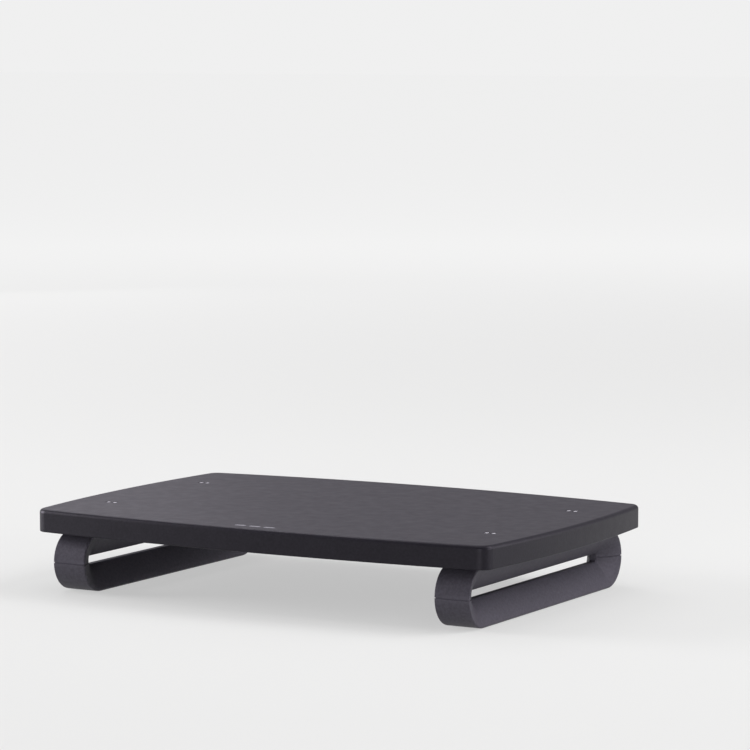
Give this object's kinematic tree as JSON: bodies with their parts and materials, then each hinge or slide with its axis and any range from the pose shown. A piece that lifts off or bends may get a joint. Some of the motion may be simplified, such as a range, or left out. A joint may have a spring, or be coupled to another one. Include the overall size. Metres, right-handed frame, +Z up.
{
  "type": "monitor riser stand",
  "caption": "Low platform that raises a monitor above a desk, on two slotted loop-shaped legs with storage space underneath.",
  "frame": {"origin": "on the desk, under the middle of the platform's rectangle, at the underside of the rubber pads", "axes": "+X to the user's right along the width, +Y away from the user, +Z up"},
  "size_m": [0.406, 0.279, 0.064],
  "materials": {
    "platform_plastic": "fine grain",
    "leg_plastic": "fine grain",
    "clip_plastic": "semi-gloss",
    "peg_plastic": "smooth",
    "pad_rubber": "matte",
    "screw_steel": "zinc plated"
  },
  "bodies": {
    "platform": {"platform": "platform_plastic"},
    "left_upper_leg": {"left_upper_leg": "leg_plastic", "left_front_clip": "clip_plastic", "left_rear_clip": "clip_plastic", "left_clip_screws": "screw_steel"},
    "left_lower_leg": {"left_lower_leg": "leg_plastic", "left_front_peg": "peg_plastic", "left_rear_peg": "peg_plastic", "left_front_pad": "pad_rubber", "left_rear_pad": "pad_rubber"},
    "right_upper_leg": {"right_upper_leg": "leg_plastic", "right_front_clip": "clip_plastic", "right_rear_clip": "clip_plastic", "right_clip_screws": "screw_steel"},
    "right_lower_leg": {"right_lower_leg": "leg_plastic", "right_front_peg": "peg_plastic", "right_rear_peg": "peg_plastic", "right_front_pad": "pad_rubber", "right_rear_pad": "pad_rubber"}
  },
  "joints": [
    {"name": "left_leg_pull", "type": "slide", "parent": "platform", "child": "left_upper_leg", "axis": [0, 0, -1], "range_m": [0, 0.022]},
    {"name": "left_lower_leg_pull", "type": "slide", "parent": "left_upper_leg", "child": "left_lower_leg", "axis": [0, 0, -1], "range_m": [0, 0.012]},
    {"name": "right_leg_pull", "type": "slide", "parent": "platform", "child": "right_upper_leg", "axis": [0, 0, -1], "range_m": [0, 0.022]},
    {"name": "right_lower_leg_pull", "type": "slide", "parent": "right_upper_leg", "child": "right_lower_leg", "axis": [0, 0, -1], "range_m": [0, 0.012]}
  ]
}
